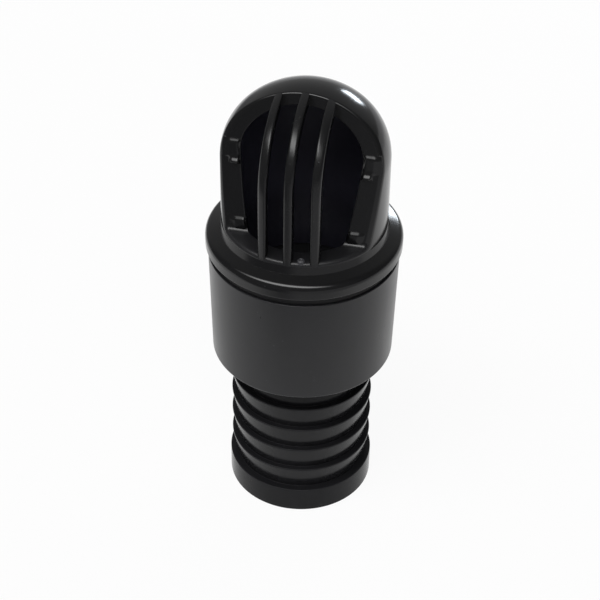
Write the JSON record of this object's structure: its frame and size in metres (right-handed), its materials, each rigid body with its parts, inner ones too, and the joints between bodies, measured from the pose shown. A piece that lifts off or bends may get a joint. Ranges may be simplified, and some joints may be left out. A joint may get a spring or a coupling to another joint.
{
  "type": "foot valve",
  "caption": "Black plastic foot valve with a domed, ribbed strainer, a screwed collar and a barbed hose tail, holding a spring-loaded poppet.",
  "frame": {"origin": "centre of the hose tail's end face, which the part stands on", "axes": "+Z along the valve's axis from the hose tail to the strainer's dome, -Y out of the strainer's window"},
  "size_m": [0.0441, 0.044, 0.1071],
  "materials": {
    "head_plastic": "glossy moulded black",
    "collar_plastic": "satin moulded black",
    "tail_plastic": "glossy moulded black",
    "valve_plastic": "moulded black",
    "seal_rubber": "smooth black rubber",
    "steel": "plain stainless steel"
  },
  "bodies": {
    "housing": {"collar": "collar_plastic", "hose_tail": "tail_plastic", "seat_ring": "valve_plastic", "seat_gasket": "seal_rubber", "guide_spider": "valve_plastic", "valve_spring": "steel"},
    "poppet_set": {"poppet": "valve_plastic", "poppet_seal": "seal_rubber", "seal_washer": "steel", "seal_screw": "steel", "stem_clip": "steel"},
    "gasket_ring": {"head_gasket": "seal_rubber"},
    "strainer": {"strainer_head": "head_plastic"}
  },
  "joints": [
    {"name": "poppet_open", "type": "slide", "parent": "housing", "child": "poppet_set", "axis": [0, 0, -1], "range_m": [0, 0.0055], "stiffness_N_per_m": 150, "springref_m": -0.003, "deforming": ["valve_spring"]},
    {"name": "head_lift", "type": "slide", "parent": "housing", "child": "gasket_ring", "axis": [0, 0, 1], "range_m": [0, 0.009]},
    {"name": "head_turn", "type": "hinge", "parent": "gasket_ring", "child": "strainer", "pos_m": [0, 0, 0.0674], "axis": [0, 0, 1], "range_deg": [0, 1080]}
  ],
  "couplings": [
    {"joint": "head_turn", "follows": "head_lift", "rad_per_m": 2094.4}
  ]
}
